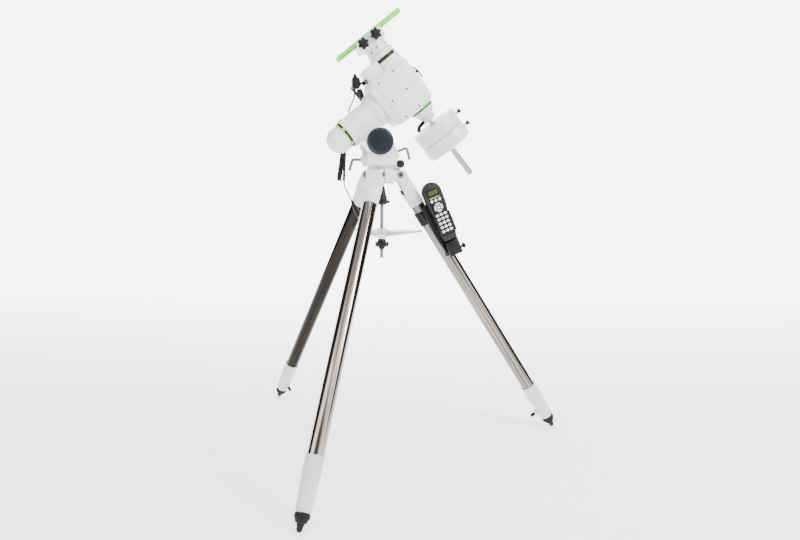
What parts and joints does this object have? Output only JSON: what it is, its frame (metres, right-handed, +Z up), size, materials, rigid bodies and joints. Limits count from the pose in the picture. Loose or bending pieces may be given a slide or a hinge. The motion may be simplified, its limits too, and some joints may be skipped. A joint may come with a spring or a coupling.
{
  "type": "equatorial telescope mount",
  "caption": "White equatorial telescope mount with polar and declination axes, counterweights, dovetail saddle and handset on a folding steel tripod.",
  "frame": {"origin": "on the floor, on the tripod axis, midway between the three foot tips", "axes": "+Z up; +X towards the leg under the counterweights; the polar and declination axes lie in the XZ plane, the polar axis 40 degrees above +X"},
  "size_m": [0.9382, 1.0748, 1.3694],
  "materials": {
    "white_paint": "slightly glossy powder coat",
    "steel_tube": "bright drawn stainless tube",
    "steel": "turned steel",
    "dark_rod": "dark threaded rod",
    "chrome": "polished plating",
    "black_plastic": "moulded, slightly textured",
    "cap_plastic": "dark glossy cap",
    "bronze": "machined bronze",
    "green_anodised": "bright green anodised",
    "light_alloy": "cast and polished",
    "dark_anodised": "black anodised scale ring",
    "handset_grey": "dark grey moulded",
    "key_white": "pale silicone keys",
    "lcd_green": "green display window",
    "cord_black": "black cable jacket"
  },
  "bodies": {
    "tripod_head": {"hub": "white_paint", "hinge_bolts": "chrome"},
    "leg_1": {"leg_socket_1": "white_paint", "leg_tube_1": "steel_tube", "leg_clamp_1": "white_paint", "holder": "black_plastic"},
    "foot_1": {"leg_foot_1": "black_plastic"},
    "clamp_screw_1": {"clamp_screw_1": "black_plastic"},
    "leg_2": {"leg_socket_2": "white_paint", "leg_tube_2": "steel_tube", "leg_clamp_2": "white_paint"},
    "foot_2": {"leg_foot_2": "black_plastic"},
    "clamp_screw_2": {"clamp_screw_2": "black_plastic"},
    "leg_3": {"leg_socket_3": "white_paint", "leg_tube_3": "steel_tube", "leg_clamp_3": "white_paint"},
    "foot_3": {"leg_foot_3": "black_plastic"},
    "clamp_screw_3": {"clamp_screw_3": "black_plastic"},
    "mount_screw": {"mount_screw": "dark_rod"},
    "spreader": {"spreader": "light_alloy"},
    "spreader_knob": {"spreader_knob": "black_plastic"},
    "azimuth": {"az_base": "white_paint", "pivot_pin": "steel", "pivot_cap": "cap_plastic", "power_cord": "cord_black", "power_hank": "cord_black", "power_fittings": "black_plastic"},
    "az_knob_near": {"az_knob_near": "black_plastic"},
    "az_knob_far": {"az_knob_far": "black_plastic"},
    "lat_bolt_front": {"lat_bolt_front": "chrome"},
    "lat_bolt_rear": {"lat_bolt_rear": "chrome"},
    "altitude": {"ra_housing": "white_paint", "motor_plug": "black_plastic", "motor_cord": "cord_black"},
    "ra_circle": {"ra_circle": "green_anodised"},
    "polar_cap": {"polar_cap": "white_paint"},
    "ra_worm": {"ra_worm": "steel"},
    "ra_lever": {"ra_lever": "black_plastic"},
    "ra_axis": {"ra_axis": "bronze", "dec_housing": "white_paint", "dec_cover": "white_paint"},
    "dec_circle": {"dec_circle": "dark_anodised"},
    "dec_worm": {"dec_worm": "steel"},
    "dec_lever": {"dec_lever": "black_plastic"},
    "dec_axis": {"dec_axis": "bronze", "saddle": "white_paint", "nose": "white_paint", "weight_shaft": "chrome"},
    "saddle_knob_rear": {"saddle_knob_rear": "black_plastic"},
    "saddle_knob_front": {"saddle_knob_front": "black_plastic"},
    "dovetail_bar": {"dovetail_bar": "green_anodised"},
    "shaft_lock": {"shaft_lock": "black_plastic"},
    "weight_1": {"weight_1": "white_paint"},
    "weight_2": {"weight_2": "white_paint"},
    "weight_screw_1": {"weight_screw_1": "black_plastic"},
    "weight_screw_2": {"weight_screw_2": "black_plastic"},
    "handset": {"handset": "handset_grey", "handset_screen": "lcd_green"},
    "keys": {"handset_keys": "key_white"},
    "holder_knob": {"holder_knob": "black_plastic"}
  },
  "joints": [
    {"name": "fold_1", "type": "hinge", "parent": "tripod_head", "child": "leg_1", "pos_m": [0.055, 0, 0.865], "axis": [0, 1, 0], "range_deg": [0, 30]},
    {"name": "extend_1", "type": "slide", "parent": "leg_1", "child": "foot_1", "axis": [0.5446, 0, -0.8387], "range_m": [0, 0.38]},
    {"name": "clamp_turn_1", "type": "hinge", "parent": "leg_1", "child": "clamp_screw_1", "pos_m": [0.54222, 0, 0.04866], "axis": [-0.8387, 0, -0.5446], "range_deg": [0, 360]},
    {"name": "fold_2", "type": "hinge", "parent": "tripod_head", "child": "leg_2", "pos_m": [-0.0275, -0.04763, 0.865], "axis": [0.866, -0.5, 0], "range_deg": [0, 30]},
    {"name": "extend_2", "type": "slide", "parent": "leg_2", "child": "foot_2", "axis": [-0.2723, -0.4717, -0.8387], "range_m": [0, 0.38]},
    {"name": "clamp_turn_2", "type": "hinge", "parent": "leg_2", "child": "clamp_screw_2", "pos_m": [-0.27111, -0.46957, 0.04866], "axis": [0.4193, 0.7263, -0.5446], "range_deg": [0, 360]},
    {"name": "fold_3", "type": "hinge", "parent": "tripod_head", "child": "leg_3", "pos_m": [-0.0275, 0.04763, 0.865], "axis": [-0.866, -0.5, 0], "range_deg": [0, 30]},
    {"name": "extend_3", "type": "slide", "parent": "leg_3", "child": "foot_3", "axis": [-0.2723, 0.4717, -0.8387], "range_m": [0, 0.38]},
    {"name": "clamp_turn_3", "type": "hinge", "parent": "leg_3", "child": "clamp_screw_3", "pos_m": [-0.27111, 0.46957, 0.04866], "axis": [0.4193, -0.7263, -0.5446], "range_deg": [0, 360]},
    {"name": "mount_screw_turn", "type": "hinge", "parent": "tripod_head", "child": "mount_screw", "pos_m": [0, 0, 0.78], "axis": [0, 0, 1], "range_deg": [0, 360]},
    {"name": "spreader_turn", "type": "hinge", "parent": "tripod_head", "child": "spreader", "pos_m": [0, 0, 0.69], "axis": [0, 0, 1], "range_deg": [0, 60]},
    {"name": "spreader_knob_turn", "type": "hinge", "parent": "tripod_head", "child": "spreader_knob", "pos_m": [0, 0, 0.64], "axis": [0, 0, 1], "range_deg": [0, 360]},
    {"name": "azimuth_turn", "type": "hinge", "parent": "tripod_head", "child": "azimuth", "pos_m": [0, 0, 0.9], "axis": [0, 0, 1], "range_deg": [-8, 8]},
    {"name": "az_knob_near_feed", "type": "slide", "parent": "azimuth", "child": "az_knob_near", "axis": [0, -1, 0], "range_m": [-0.0075, 0.0075]},
    {"name": "az_knob_far_feed", "type": "slide", "parent": "azimuth", "child": "az_knob_far", "axis": [0, 1, 0], "range_m": [-0.0075, 0.0075]},
    {"name": "altitude_tilt", "type": "hinge", "parent": "azimuth", "child": "altitude", "pos_m": [-0.0195, 0, 0.9635], "axis": [0, -1, 0], "range_deg": [-5, 12]},
    {"name": "lat_bolt_front_feed", "type": "slide", "parent": "azimuth", "child": "lat_bolt_front", "axis": [0.9272, 0, 0.3746], "range_m": [-0.006, 0.0115]},
    {"name": "lat_bolt_rear_feed", "type": "slide", "parent": "azimuth", "child": "lat_bolt_rear", "axis": [-1, 0, 0], "range_m": [-0.0125, 0.006]},
    {"name": "ra_turn", "type": "hinge", "parent": "altitude", "child": "ra_axis", "pos_m": [-0.01533, 0, 1.06855], "axis": [0.766, 0, 0.6428], "range_deg": [-150, 150]},
    {"name": "ra_worm_turn", "type": "hinge", "parent": "altitude", "child": "ra_worm", "pos_m": [-0.0451, 0, 0.99357], "axis": [0, 1, 0], "continuous": true},
    {"name": "ra_circle_turn", "type": "hinge", "parent": "altitude", "child": "ra_circle", "pos_m": [-0.11568, 0, 0.98435], "axis": [0.766, 0, 0.6428], "continuous": true},
    {"name": "polar_cap_pull", "type": "slide", "parent": "altitude", "child": "polar_cap", "axis": [-0.766, 0, -0.6428], "range_m": [0, 0.05]},
    {"name": "ra_lever_turn", "type": "hinge", "parent": "altitude", "child": "ra_lever", "pos_m": [-0.06126, 0, 1.09528], "axis": [-0.6428, 0, 0.766], "range_deg": [-70, 0]},
    {"name": "dec_turn", "type": "hinge", "parent": "ra_axis", "child": "dec_axis", "pos_m": [0.0697, 0, 1.1399], "axis": [-0.6428, 0, 0.766], "continuous": true},
    {"name": "dec_worm_turn", "type": "hinge", "parent": "ra_axis", "child": "dec_worm", "pos_m": [-0.01042, 0, 1.1758], "axis": [0, 1, 0], "continuous": true},
    {"name": "dec_circle_turn", "type": "hinge", "parent": "ra_axis", "child": "dec_circle", "pos_m": [0.00414, 0, 1.21804], "axis": [-0.6428, 0, 0.766], "continuous": true},
    {"name": "dec_lever_turn", "type": "hinge", "parent": "ra_axis", "child": "dec_lever", "pos_m": [0.10923, 0, 1.18613], "axis": [0.766, 0, 0.6428], "range_deg": [-35, 35]},
    {"name": "saddle_knob_rear_turn", "type": "hinge", "parent": "dec_axis", "child": "saddle_knob_rear", "pos_m": [-0.06805, -0.04, 1.24884], "axis": [0, -1, 0], "range_deg": [0, 360]},
    {"name": "saddle_knob_front_turn", "type": "hinge", "parent": "dec_axis", "child": "saddle_knob_front", "pos_m": [-0.03128, -0.04, 1.27969], "axis": [0, -1, 0], "range_deg": [0, 360]},
    {"name": "bar_slide", "type": "slide", "parent": "dec_axis", "child": "dovetail_bar", "axis": [0.766, 0, 0.6428], "range_m": [-0.07, 0.07]},
    {"name": "shaft_lock_turn", "type": "hinge", "parent": "dec_axis", "child": "shaft_lock", "pos_m": [0.14941, 0, 1.04491], "axis": [-0.6428, 0, 0.766], "range_deg": [-90, 90]},
    {"name": "weight_2_slide", "type": "slide", "parent": "dec_axis", "child": "weight_2", "axis": [0.6428, 0, -0.766], "range_m": [0, 0.095]},
    {"name": "weight_1_slide", "type": "slide", "parent": "dec_axis", "child": "weight_1", "axis": [0.6428, 0, -0.766], "range_m": [0, 0.095]},
    {"name": "weight_screw_turn_1", "type": "hinge", "parent": "weight_1", "child": "weight_screw_1", "pos_m": [0.24542, 0, 1.06739], "axis": [0.766, 0, 0.6428], "range_deg": [0, 360]},
    {"name": "weight_screw_turn_2", "type": "hinge", "parent": "weight_2", "child": "weight_screw_2", "pos_m": [0.27531, 0, 1.03177], "axis": [0.766, 0, 0.6428], "range_deg": [0, 360]},
    {"name": "holder_knob_turn", "type": "hinge", "parent": "leg_1", "child": "holder_knob", "pos_m": [0.25949, -0.029, 0.64009], "axis": [0.8387, 0, 0.5446], "range_deg": [0, 360]},
    {"name": "handset_lift", "type": "slide", "parent": "leg_1", "child": "handset", "axis": [-0.3949, 0, 0.9187], "range_m": [0, 0.12]},
    {"name": "keys_press", "type": "slide", "parent": "handset", "child": "keys", "axis": [0, 1, 0], "range_m": [0, 0.001], "stiffness_N_per_m": 2000}
  ],
  "couplings": [
    {"joint": "fold_2", "follows": "fold_1", "ratio": 1},
    {"joint": "fold_3", "follows": "fold_1", "ratio": 1},
    {"joint": "spreader_turn", "follows": "fold_1", "ratio": 2},
    {"joint": "az_knob_near_feed", "follows": "azimuth_turn", "m_per_rad": 0.048},
    {"joint": "az_knob_far_feed", "follows": "azimuth_turn", "m_per_rad": -0.048},
    {"joint": "lat_bolt_front_feed", "follows": "altitude_tilt", "m_per_rad": 0.0515},
    {"joint": "lat_bolt_rear_feed", "follows": "altitude_tilt", "m_per_rad": -0.053},
    {"joint": "ra_worm_turn", "follows": "ra_turn", "ratio": 135},
    {"joint": "dec_worm_turn", "follows": "dec_turn", "ratio": 135},
    {"joint": "weight_1_slide", "follows": "weight_2_slide", "ratio": 1}
  ]
}
